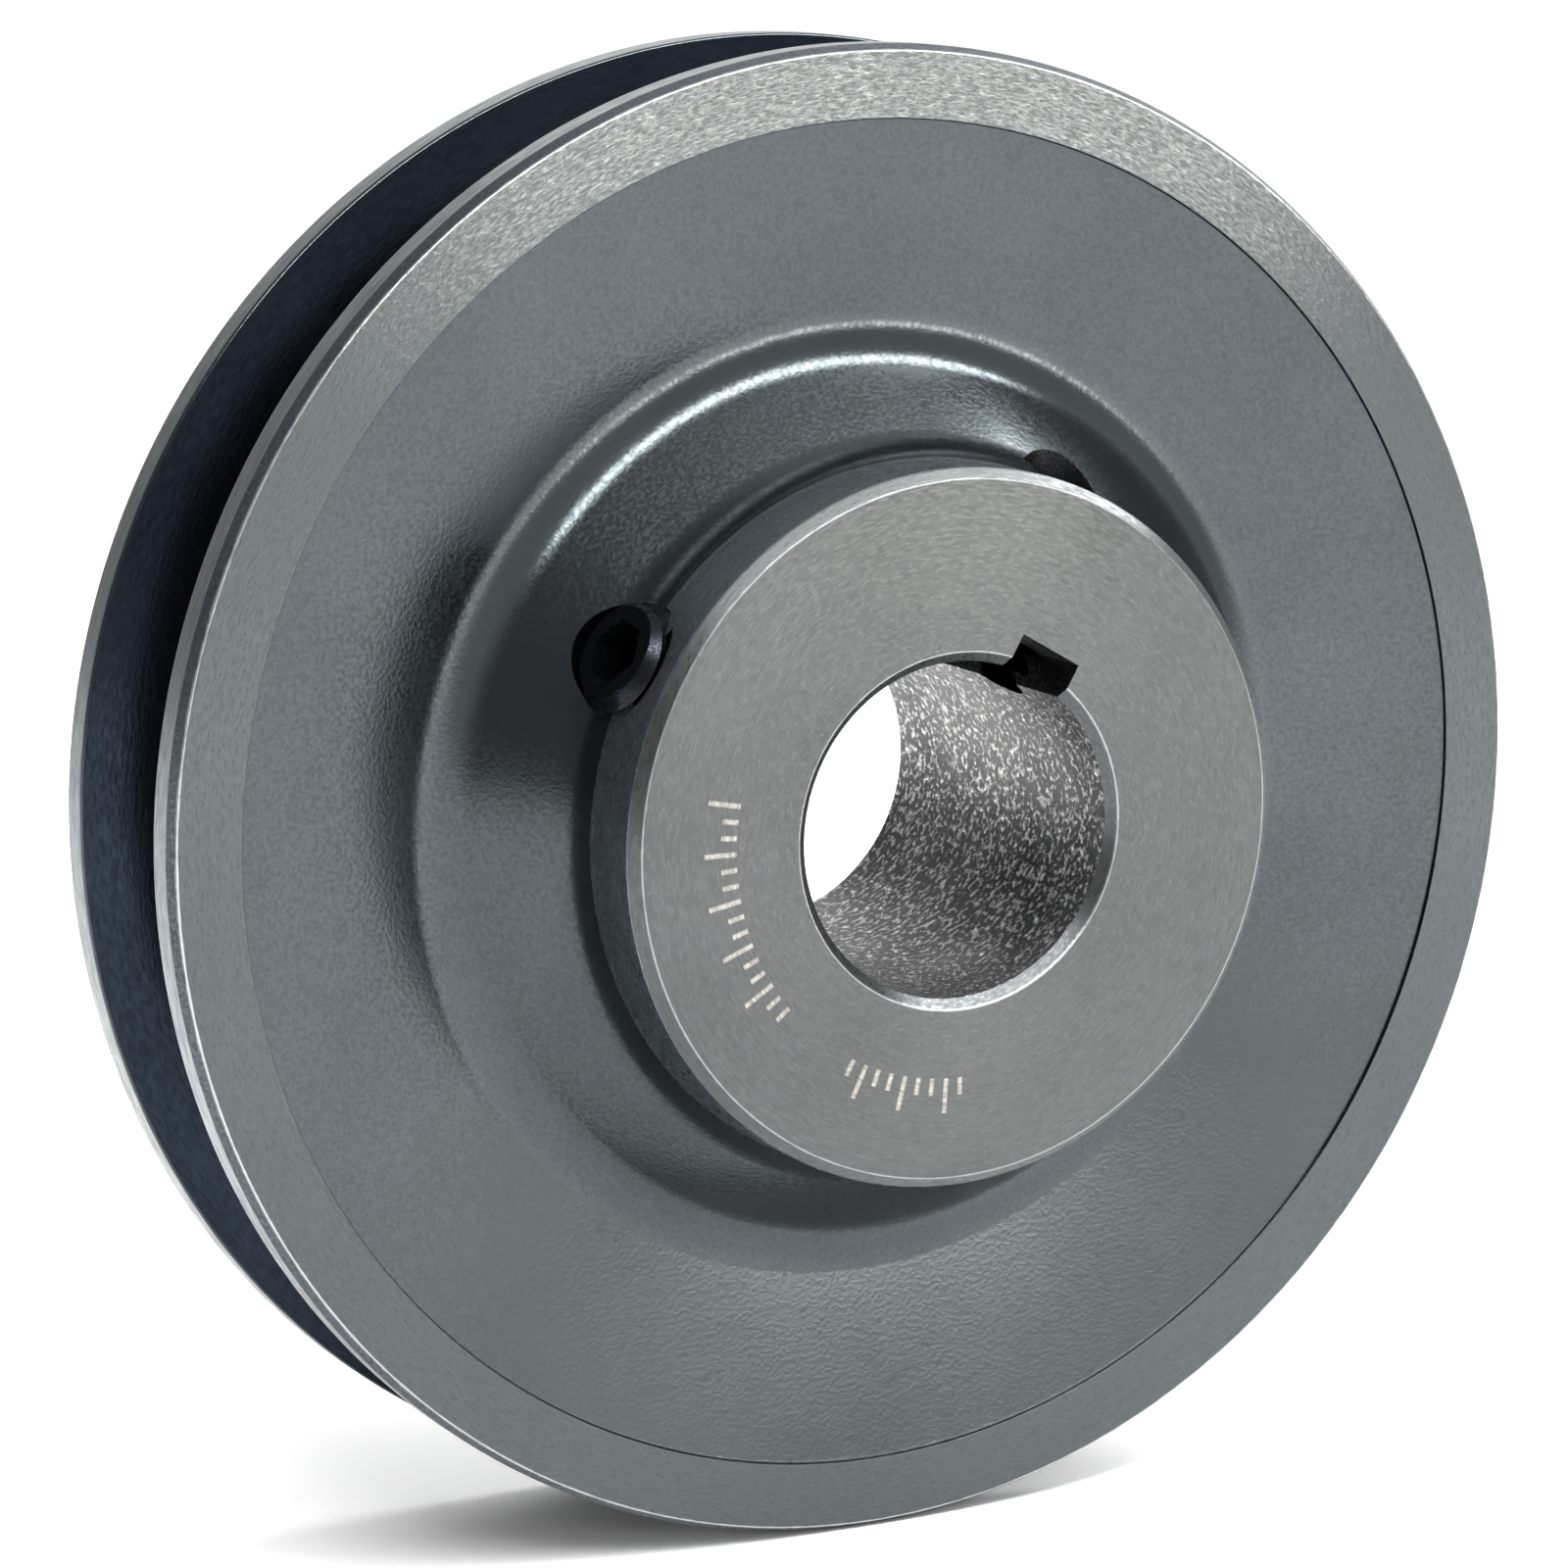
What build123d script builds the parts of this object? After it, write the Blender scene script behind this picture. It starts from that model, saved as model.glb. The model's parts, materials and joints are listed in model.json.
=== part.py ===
"""Single-groove V-belt sheave with a finished, key-seated bore and two socket set screws.

The bore runs along Y. The hub side faces -Y, +Z is up, and the origin lies on the bore's axis
at the middle of the belt groove. All sizes are in millimetres.
"""
import os
from math import cos, radians, sin, sqrt, tan

from build123d import *

INCH = 25.4

# --- rim and belt groove -------------------------------------------------------------------
outside_diameter = 3.95 * INCH
face_width = 0.75 * INCH
rim_chamfer_axial = 0.8        # edge break between the rim's outside and its flat side
rim_chamfer_radial = 0.45
groove_top_width = 13.0        # A / 4L belt section
groove_angle = 34.0            # included angle of the two belt flanks
groove_depth = 12.4
groove_lip_round = 0.3
groove_root_round = 0.8

# --- side faces and web --------------------------------------------------------------------
side_land = 4.85               # machined flat ring along the rim, from outside to dish
dish_step = 0.35               # drop from the flat ring to the cast web
front_dish_depth = 3.0         # web at the foot of the hub, below the rim's front side
back_dish_depth = 4.6
foot_run = 6.789               # width of the hub's conical foot on the front web
foot_slope = 46.0              # rise of the hub's conical foot, from the web, in degrees
foot_round = 4.0
hub_root_round = 5.0
back_wall_draft = 45.0

# --- hub and bore --------------------------------------------------------------------------
hub_diameter = 1.867 * INCH
hub_projection = 11.5          # hub face beyond the rim's front side
hub_setback = 1.15             # hub's other end, inside the rim's back side
hub_chamfer = 0.75
back_boss_diameter = 46.0
bore_diameter = 0.875 * INCH
bore_chamfer = 0.68
key_width = INCH * 3 / 16
key_depth = INCH * 3 / 32      # measured at the key seat's side wall
key_angle = 60.0               # key seat's direction, from +X towards +Z
cutter_margin = 5.0            # how far a cut runs past the metal it goes through

# --- set screws (5/16-18 socket set screws, cup point) ---------------------------------------
screw_diameter = INCH * 5 / 16
thread_pitch = INCH / 18
screw_length = INCH * 3 / 8
screw_clearance = 0.08         # radial, between screw and hole
screw_setback = 6.425          # screw axis behind the hub face, where it leaves the hub's outside
screw_tilt = 10.0              # lean of each screw, its outer end towards the hub face, in degrees
second_screw_turn = 90.0       # second screw's direction, turned on from the key seat
socket_across_flats = INCH * 5 / 32
socket_depth = 4.0
end_chamfer = 0.7
cup_diameter = 4.2
cup_angle = 118.0
key_screw_gap = 0.45           # key screw's point above the key seat's floor, at rest
shaft_screw_turns = 3          # whole turns that the second screw is backed off the shaft

# --- worked out ----------------------------------------------------------------------------
rim_radius = outside_diameter / 2
rim_half = face_width / 2
land_radius = rim_radius - side_land
groove_half_top = groove_top_width / 2
groove_half_root = groove_half_top - groove_depth * tan(radians(groove_angle / 2))
groove_root_radius = rim_radius - groove_depth
bore_radius = bore_diameter / 2
hub_radius = hub_diameter / 2
boss_radius = back_boss_diameter / 2
hub_face = rim_half + hub_projection        # distance of the hub face from the origin, along -Y
back_face = rim_half - hub_setback          # distance of the hub's other end, along +Y
hub_length = hub_face + back_face
front_web = rim_half - front_dish_depth
back_web = rim_half - back_dish_depth
web_foot_radius = hub_radius + foot_run
foot_height = foot_run * tan(radians(foot_slope))
back_wall_run = (back_dish_depth - dish_step) / tan(radians(back_wall_draft))
boss_foot_run = (back_face - back_web) / tan(radians(back_wall_draft))
key_floor = sqrt(bore_radius**2 - (key_width / 2) ** 2) + key_depth
lean = radians(screw_tilt)
screw_crossing = hub_face - screw_setback - hub_radius * tan(lean)     # along -Y, on the bore's axis
point_edge_drop = (screw_diameter / 2 - screw_clearance - end_chamfer) * sin(lean)
key_screw_point = (key_floor + key_screw_gap + point_edge_drop) / cos(lean)
shaft_contact = (bore_radius + point_edge_drop) / cos(lean)
shaft_screw_point = shaft_contact + shaft_screw_turns * thread_pitch


def plane_across_screw(angle, distance):
    """Plane across a leaning screw, at a distance along it from the bore's axis, facing outwards."""
    radial = Vector(cos(radians(angle)), 0, sin(radians(angle)))
    outward = radial * cos(lean) - Vector(0, sin(lean), 0)
    towards_hub_face = -radial * sin(lean) - Vector(0, cos(lean), 0)
    origin = Vector(0, -screw_crossing, 0) + outward * distance
    return Plane(origin=origin, x_dir=towards_hub_face, z_dir=outward)


def corners_at(part, radius, height):
    """Circular edges of a turned part at a radius and a place along Y."""
    return [
        edge
        for edge in part.edges().filter_by(GeomType.CIRCLE)
        if abs(edge.radius - radius) < 1e-3 and abs(edge.arc_center.Y - height) < 1e-3
    ]


# --- sheave: one casting with rim, web and hub -----------------------------------------------
with BuildPart() as sheave:
    with BuildSketch(Plane.XY) as section:
        with BuildLine():
            Polyline(
                (0, -hub_face),
                (hub_radius - hub_chamfer, -hub_face),
                (hub_radius, -hub_face + hub_chamfer),
                (hub_radius, -front_web - foot_height),
                (web_foot_radius, -front_web),
                (land_radius, -rim_half + dish_step),
                (land_radius, -rim_half),
                (rim_radius - rim_chamfer_radial, -rim_half),
                (rim_radius, -rim_half + rim_chamfer_axial),
                (rim_radius, -groove_half_top),
                (groove_root_radius, -groove_half_root),
                (groove_root_radius, groove_half_root),
                (rim_radius, groove_half_top),
                (rim_radius, rim_half - rim_chamfer_axial),
                (rim_radius - rim_chamfer_radial, rim_half),
                (land_radius, rim_half),
                (land_radius, rim_half - dish_step),
                (land_radius - back_wall_run, back_web),
                (boss_radius + boss_foot_run, back_web),
                (boss_radius, back_face),
                (0, back_face),
                close=True,
            )
        make_face()
    revolve(axis=Axis.Y)

    # cast and machined rounds
    fillet(corners_at(sheave, hub_radius, -front_web - foot_height), hub_root_round)
    fillet(corners_at(sheave, web_foot_radius, -front_web), foot_round)
    fillet(corners_at(sheave, land_radius - back_wall_run, back_web), foot_round)
    fillet(corners_at(sheave, boss_radius + boss_foot_run, back_web), foot_round)
    for side in (-1, 1):
        fillet(corners_at(sheave, rim_radius, side * groove_half_top), groove_lip_round)
        fillet(corners_at(sheave, groove_root_radius, side * groove_half_root), groove_root_round)

    # finished bore, broken at both ends
    with BuildSketch(Plane.XZ.offset(hub_face)):
        Circle(bore_radius)
    extrude(amount=-hub_length, mode=Mode.SUBTRACT)
    chamfer(corners_at(sheave, bore_radius, -hub_face), bore_chamfer)
    chamfer(corners_at(sheave, bore_radius, back_face), bore_chamfer)

    # key seat along the whole bore
    with BuildSketch(Plane.XZ.offset(hub_face)):
        with Locations(Rotation(0, 0, key_angle)):
            Rectangle(key_floor, key_width, align=(Align.MIN, Align.CENTER))
    extrude(amount=-hub_length, mode=Mode.SUBTRACT)

    # tapped holes, bored here at the thread's outer diameter
    for turn in (0, second_screw_turn):
        with BuildSketch(plane_across_screw(key_angle + turn, bore_radius / 2)):
            Circle(screw_diameter / 2)
        extrude(amount=web_foot_radius - bore_radius / 2 + cutter_margin, mode=Mode.SUBTRACT)

sheave.part.label = "sheave"


def make_set_screw(angle, point_distance):
    """Socket set screw with its cup point at a distance, along the screw, from the bore's axis."""
    with BuildPart() as screw:
        with BuildSketch(plane_across_screw(angle, point_distance)):
            Circle(screw_diameter / 2 - screw_clearance)
        extrude(amount=screw_length)
        ends = screw.edges().filter_by(GeomType.CIRCLE)
        chamfer(ends, end_chamfer)
        with BuildSketch(plane_across_screw(angle, point_distance + screw_length)):
            RegularPolygon(socket_across_flats / 2, 6, major_radius=False)
        extrude(amount=-socket_depth, mode=Mode.SUBTRACT)
        cup_depth = cup_diameter / 2 / tan(radians(cup_angle / 2))
        with Locations(plane_across_screw(angle, point_distance)):
            with Locations((0, 0, cup_depth / 2)):
                Cone(cup_diameter / 2, 0, cup_depth, mode=Mode.SUBTRACT)
    return screw


# --- set screws ------------------------------------------------------------------------------
key_set_screw = make_set_screw(key_angle, key_screw_point)
key_set_screw.part.label = "key_set_screw"

shaft_set_screw = make_set_screw(key_angle + second_screw_turn, shaft_screw_point)
shaft_set_screw.part.label = "shaft_set_screw"

os.makedirs("parts", exist_ok=True)
export_step(sheave.part, "parts/sheave.step")
export_step(key_set_screw.part, "parts/key_set_screw.step")
export_step(shaft_set_screw.part, "parts/shaft_set_screw.step")
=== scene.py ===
"""Looks of a single-groove V-belt sheave with its two socket set screws.

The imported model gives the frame: bore axis along Y, hub side towards -Y, +Z up, metres. The casting is a
turned outline swept round the bore by Geometry Nodes, then cut for its key seat and its two tapped holes.
The set screws are threaded rods from the same thread tree, with a hexagon socket and a cup point.
"""
import json
import logging
from dataclasses import dataclass, field
from math import asin, atan2, ceil, cos, hypot, pi, radians, sin, sqrt, tan
from typing import Any

import bpy
from mathutils import Matrix, Vector


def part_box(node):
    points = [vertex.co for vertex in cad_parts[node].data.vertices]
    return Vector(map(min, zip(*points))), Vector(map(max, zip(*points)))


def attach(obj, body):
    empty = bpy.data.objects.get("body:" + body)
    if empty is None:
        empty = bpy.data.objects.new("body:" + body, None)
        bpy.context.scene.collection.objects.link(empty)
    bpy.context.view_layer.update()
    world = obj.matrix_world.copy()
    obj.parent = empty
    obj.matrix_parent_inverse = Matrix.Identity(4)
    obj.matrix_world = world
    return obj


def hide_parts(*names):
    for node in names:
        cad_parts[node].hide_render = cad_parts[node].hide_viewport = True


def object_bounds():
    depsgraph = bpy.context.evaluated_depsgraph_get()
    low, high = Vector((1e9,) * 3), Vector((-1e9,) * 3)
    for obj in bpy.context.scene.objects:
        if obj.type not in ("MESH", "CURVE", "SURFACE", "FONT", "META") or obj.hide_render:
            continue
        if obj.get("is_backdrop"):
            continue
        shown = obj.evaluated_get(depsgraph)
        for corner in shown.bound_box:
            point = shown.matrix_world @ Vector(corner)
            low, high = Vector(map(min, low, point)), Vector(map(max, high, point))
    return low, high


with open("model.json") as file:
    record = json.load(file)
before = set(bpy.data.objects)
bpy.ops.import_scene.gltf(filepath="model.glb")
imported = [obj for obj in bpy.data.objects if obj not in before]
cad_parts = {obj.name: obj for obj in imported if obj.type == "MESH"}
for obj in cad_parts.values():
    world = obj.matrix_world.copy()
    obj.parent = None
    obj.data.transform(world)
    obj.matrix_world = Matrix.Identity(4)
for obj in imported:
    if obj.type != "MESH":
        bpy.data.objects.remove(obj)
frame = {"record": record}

LOG = logging.getLogger("sheave")
MM = 0.001
INCH = 0.0254
MERGE = 1e-6
MATH = "ShaderNodeMath"
CREASE = radians(31)          # edges sharper than this stay crisp


# --- node helpers ----------------------------------------------------------------------------
def add_node(
    tree: bpy.types.NodeTree, kind: str, inputs: dict | None = None, **settings: Any
) -> bpy.types.Node:
    """Add a node with its settings and its inputs.

    Args:
        tree: Node tree that the node goes into.
        kind: Blender's type name of the node.
        inputs: Input name or index to a constant, a socket, or a node whose first output is linked.
        settings: Attributes set on the node before its inputs.

    Returns:
        The new node.
    """
    node = tree.nodes.new(kind)
    for name, value in settings.items():
        setattr(node, name, value)
    for key, value in (inputs or {}).items():
        if isinstance(value, bpy.types.Node):
            value = value.outputs[0]
        if isinstance(value, bpy.types.NodeSocket):
            tree.links.new(value, node.inputs[key])
        else:
            node.inputs[key].default_value = value
    return node


def linear(hex_colour: str, alpha: float = 1.0) -> tuple[float, float, float, float]:
    """Turn an sRGB hex colour such as "7f8486" into linear RGBA."""
    parts = [int(hex_colour[i : i + 2], 16) / 255 for i in (0, 2, 4)]
    red, green, blue = (c / 12.92 if c <= 0.04045 else ((c + 0.055) / 1.055) ** 2.4 for c in parts)
    return red, green, blue, alpha


def new_tree(name: str, inputs: list[tuple[str, str, Any]]) -> tuple[bpy.types.NodeTree, bpy.types.Node]:
    """Make a Geometry Nodes tree with named inputs and one geometry output.

    Args:
        name: Name of the tree.
        inputs: Name, socket type and default of each input.

    Returns:
        The tree and its group input node.
    """
    tree = bpy.data.node_groups.new(name, "GeometryNodeTree")
    for label, kind, default in inputs:
        socket = tree.interface.new_socket(label, in_out="INPUT", socket_type=kind)
        if default is not None:
            socket.default_value = default
    tree.interface.new_socket("Geometry", in_out="OUTPUT", socket_type="NodeSocketGeometry")
    return tree, tree.nodes.new("NodeGroupInput")


def close_tree(tree: bpy.types.NodeTree, geometry: Any) -> None:
    """Link the geometry that leaves a tree."""
    add_node(tree, "NodeGroupOutput", {0: geometry})


def evaluated(
    source: bpy.types.Object, tree: bpy.types.NodeTree, values: dict[str, Any], name: str
) -> bpy.types.Object:
    """Run a Geometry Nodes tree on an object and keep its result as a plain mesh.

    Args:
        source: Object that the tree's modifier goes on; it is removed afterwards.
        tree: Geometry Nodes tree.
        values: Input name to value, set by each socket's identifier.
        name: Name of the finished object.

    Returns:
        A new object at the origin that holds the result.
    """
    modifier = source.modifiers.new("nodes", "NODES")
    modifier.node_group = tree
    sockets = {item.name: item.identifier for item in tree.interface.items_tree if item.in_out == "INPUT"}
    for label, value in values.items():
        modifier[sockets[label]] = value
    bpy.context.view_layer.update()
    graph = bpy.context.evaluated_depsgraph_get()
    mesh = bpy.data.meshes.new_from_object(source.evaluated_get(graph), depsgraph=graph)
    mesh.name = name
    bpy.data.objects.remove(source)
    piece = bpy.data.objects.new(name, mesh)
    bpy.context.scene.collection.objects.link(piece)
    return piece


def outline_object(name: str, points: list[tuple[float, float]], closed: bool = True) -> bpy.types.Object:
    """Make an object whose mesh is a chain of edges through points in the XY plane."""
    mesh = bpy.data.meshes.new(name)
    count = len(points)
    edges = [(i, (i + 1) % count) for i in range(count if closed else count - 1)]
    mesh.from_pydata([(x, y, 0.0) for x, y in points], edges, [])
    piece = bpy.data.objects.new(name, mesh)
    bpy.context.scene.collection.objects.link(piece)
    return piece


# --- thread tree -----------------------------------------------------------------------------
def thread_rod_tree() -> bpy.types.NodeTree:
    """Build the tree of a threaded rod along +Z, closed at both ends.

    A grid is rolled round Z. Its rows climb one pitch a turn and sit on the corners of the thread's
    trapezium, so that crests and roots are true helices. Rows past an end are held on its flat face.

    Returns:
        The tree.
    """
    tree, given = new_tree(
        "thread_rod",
        [
            ("Crest Radius", "NodeSocketFloat", 4 * MM),
            ("Root Radius", "NodeSocketFloat", 3.2 * MM),
            ("Pitch", "NodeSocketFloat", 1.4 * MM),
            ("Length", "NodeSocketFloat", 10 * MM),
            ("Crest Share", "NodeSocketFloat", 0.125),
            ("Root Share", "NodeSocketFloat", 0.25),
            ("End Radius", "NodeSocketFloat", 1.0),
            ("Segments", "NodeSocketInt", 72),
        ],
    )
    crest, root, pitch, length, crest_share, root_share, end_radius, segments = given.outputs[:8]
    corners, spare_rows, lead_turns = 4.0, 18.0, 2.0
    pitches = add_node(tree, MATH, {0: length, 1: pitch}, operation="DIVIDE")
    turns = add_node(tree, MATH, {0: pitches}, operation="CEIL")
    rows = add_node(tree, MATH, {0: turns, 1: corners, 2: spare_rows}, operation="MULTIPLY_ADD")
    columns = add_node(tree, MATH, {0: segments, 1: 1.0}, operation="ADD")
    grid = add_node(
        tree, "GeometryNodeMeshGrid", {"Size X": 1.0, "Size Y": 1.0, "Vertices X": columns, "Vertices Y": rows}
    )
    place = add_node(tree, "ShaderNodeSeparateXYZ", {0: add_node(tree, "GeometryNodeInputPosition")})
    around = add_node(tree, MATH, {0: place.outputs[0], 1: 0.5}, operation="ADD")
    along = add_node(tree, MATH, {0: place.outputs[1], 1: 0.5}, operation="ADD")
    last = add_node(tree, MATH, {0: rows, 1: 1.0}, operation="SUBTRACT")
    row_place = add_node(tree, MATH, {0: along, 1: last}, operation="MULTIPLY")
    row = add_node(tree, MATH, {0: row_place}, operation="ROUND")
    # the row's corner of the thread: crest start, crest end, root start, root end
    turn_place = add_node(tree, MATH, {0: row, 1: corners}, operation="DIVIDE")
    turn = add_node(tree, MATH, {0: turn_place}, operation="FLOOR")
    corner = add_node(tree, MATH, {0: row, 1: corners}, operation="MODULO")
    half_crest = add_node(tree, MATH, {0: crest_share, 1: 0.5}, operation="MULTIPLY")
    half_root = add_node(tree, MATH, {0: root_share, 1: 0.5}, operation="MULTIPLY")
    crest_start = add_node(tree, MATH, {0: half_crest, 1: -1.0}, operation="MULTIPLY")
    root_start = add_node(tree, MATH, {0: 0.5, 1: half_root}, operation="SUBTRACT")
    root_end = add_node(tree, MATH, {0: 0.5, 1: half_root}, operation="ADD")
    pick = add_node(tree, "GeometryNodeIndexSwitch", data_type="FLOAT")
    while len(pick.index_switch_items) < 4:
        pick.index_switch_items.new()
    for index, value in enumerate((crest_start, half_crest, root_start, root_end)):
        tree.links.new(value.outputs[0], pick.inputs[1 + index])
    tree.links.new(corner.outputs[0], pick.inputs[0])
    base = add_node(tree, MATH, {0: turn, 1: pick}, operation="ADD")
    climb = add_node(tree, MATH, {0: base, 1: around}, operation="ADD")
    lowered = add_node(tree, MATH, {0: climb, 1: -lead_turns}, operation="ADD")
    sheared = add_node(tree, MATH, {0: lowered, 1: pitch}, operation="MULTIPLY")
    height = add_node(tree, "ShaderNodeClamp", {"Value": sheared, "Min": 0.0, "Max": length})
    # radius from the place within the pitch
    share = add_node(tree, MATH, {0: height, 1: pitch}, operation="DIVIDE")
    behind = add_node(tree, MATH, {0: share, 1: around}, operation="SUBTRACT")
    phase = add_node(tree, MATH, {0: behind, 1: 1.0}, operation="FLOORED_MODULO")
    off_root = add_node(tree, MATH, {0: phase, 1: 0.5}, operation="SUBTRACT")
    from_root = add_node(tree, MATH, {0: off_root}, operation="ABSOLUTE")
    flank_end = add_node(tree, MATH, {0: 0.5, 1: half_crest}, operation="SUBTRACT")
    radius = add_node(
        tree,
        "ShaderNodeMapRange",
        {"Value": from_root, "From Min": half_root, "From Max": flank_end, "To Min": root, "To Max": crest},
    )
    from_top = add_node(tree, MATH, {0: length, 1: height}, operation="SUBTRACT")
    nearest_end = add_node(tree, MATH, {0: height, 1: from_top}, operation="MINIMUM")
    chamfer = add_node(tree, MATH, {0: end_radius, 1: nearest_end}, operation="ADD")
    held = add_node(tree, MATH, {0: radius, 1: chamfer}, operation="MINIMUM")
    first_row = add_node(tree, MATH, {0: row, 1: 0.5}, operation="GREATER_THAN")
    before_last = add_node(tree, MATH, {0: last, 1: 0.5}, operation="SUBTRACT")
    last_row = add_node(tree, MATH, {0: row, 1: before_last}, operation="LESS_THAN")
    inside = add_node(tree, MATH, {0: first_row, 1: last_row}, operation="MULTIPLY")
    final = add_node(tree, MATH, {0: held, 1: inside}, operation="MULTIPLY")
    angle = add_node(tree, MATH, {0: around, 1: 2 * pi}, operation="MULTIPLY")
    cosine = add_node(tree, MATH, {0: angle}, operation="COSINE")
    sine = add_node(tree, MATH, {0: angle}, operation="SINE")
    across = add_node(tree, MATH, {0: cosine, 1: final}, operation="MULTIPLY")
    beside = add_node(tree, MATH, {0: sine, 1: final}, operation="MULTIPLY")
    where = add_node(tree, "ShaderNodeCombineXYZ", {0: across, 1: beside, 2: height})
    rolled = add_node(tree, "GeometryNodeSetPosition", {"Geometry": grid, "Position": where})
    closed = add_node(tree, "GeometryNodeMergeByDistance", {"Geometry": rolled, "Distance": MERGE})
    close_tree(tree, closed)
    return tree


# --- turned outline ----------------------------------------------------------------------------
@dataclass(frozen=True)
class Corner:
    """Corner of a turned outline: distance from the bore's axis, place along the axis, and its round."""

    radius: float
    along: float
    round: float


@dataclass(frozen=True)
class TurnedOutline:
    """Closed outline of a turned part, with an arc at each corner and points along each straight."""

    corners: tuple[Corner, ...]
    arc_step: float = radians(7)
    longest_run: float = 2.4 * MM
    support: float = 0.15 * MM

    def arc(self, index: int) -> list[Vector]:
        """Points of the arc at a corner, in order.

        Args:
            index: Which corner.

        Returns:
            Points as (radius, along).
        """
        here = Vector((self.corners[index].radius, self.corners[index].along))
        sides = []
        for neighbour in (self.corners[index - 1], self.corners[(index + 1) % len(self.corners)]):
            sides.append((Vector((neighbour.radius, neighbour.along)) - here).normalized())
        half = sides[0].angle(sides[1]) / 2
        size = self.corners[index].round
        start = here + sides[0] * size / tan(half)
        centre = here + (sides[0] + sides[1]).normalized() * size / sin(half)
        turn = pi - 2 * half
        if sides[0].x * sides[1].y - sides[0].y * sides[1].x > 0:
            turn = -turn
        count = max(3, ceil(abs(turn) / self.arc_step))
        spoke = start - centre
        return [centre + Matrix.Rotation(turn * k / count, 2) @ spoke for k in range(count + 1)]

    def points(self) -> list[tuple[float, float]]:
        """All the outline's points, arcs and straights together."""
        arcs = [self.arc(index) for index in range(len(self.corners))]
        line: list[Vector] = []
        for index, arc in enumerate(arcs):
            line += arc
            start, end = arc[-1], arcs[(index + 1) % len(arcs)][0]
            length = (end - start).length
            if length < 4 * self.support:
                continue
            stations = [self.support]
            inner = length - 2 * self.support
            count = max(1, ceil(inner / self.longest_run))
            stations += [self.support + inner * k / count for k in range(1, count + 1)]
            line += [start.lerp(end, station / length) for station in stations]
        return [(point.x, point.y) for point in line]


# --- finishes ----------------------------------------------------------------------------------
@dataclass(frozen=True)
class EdgeWearAndHighlight:
    """Bright line round a turned edge, at one radius, with breaks in it: partly rubbed bare metal, partly a
    painted highlight where the edge catches the light.
    """

    radius: float
    width: float
    colour: str
    strength: float
    break_size: float = 1.1 * MM


@dataclass(frozen=True)
class TickRow:
    """Row of etched graduation ticks round the bore, in degrees from -X towards -Z."""

    start: float
    end: float
    step: float = 3.6
    inner: float = 16.3 * MM
    outer: float = 18.6 * MM
    width: float = 0.34 * MM


@dataclass(frozen=True)
class Turned:
    """Sockets of a point's place on a turned part."""

    place: bpy.types.NodeSocket
    radius: bpy.types.NodeSocket
    along: bpy.types.NodeSocket
    across: bpy.types.NodeSocket
    up: bpy.types.NodeSocket


def turned_place(tree: bpy.types.NodeTree, source: bpy.types.NodeSocket) -> Turned:
    """Work out distance from the bore's axis and place along it.

    Args:
        tree: Shader or geometry tree.
        source: Position or object coordinates.

    Returns:
        The sockets: place, radius, along, and the unit direction's X and Z.
    """
    parts = add_node(tree, "ShaderNodeSeparateXYZ", {0: source})
    square = add_node(tree, MATH, {0: parts.outputs[0], 1: parts.outputs[0]}, operation="MULTIPLY")
    z = parts.outputs[2]
    total = add_node(tree, MATH, {0: z, 1: z, 2: square}, operation="MULTIPLY_ADD")
    radius = add_node(tree, MATH, {0: total}, operation="SQRT")
    across = add_node(tree, MATH, {0: parts.outputs[0], 1: radius}, operation="DIVIDE")
    up = add_node(tree, MATH, {0: parts.outputs[2], 1: radius}, operation="DIVIDE")
    return Turned(source, radius.outputs[0], parts.outputs[1], across.outputs[0], up.outputs[0])


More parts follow.
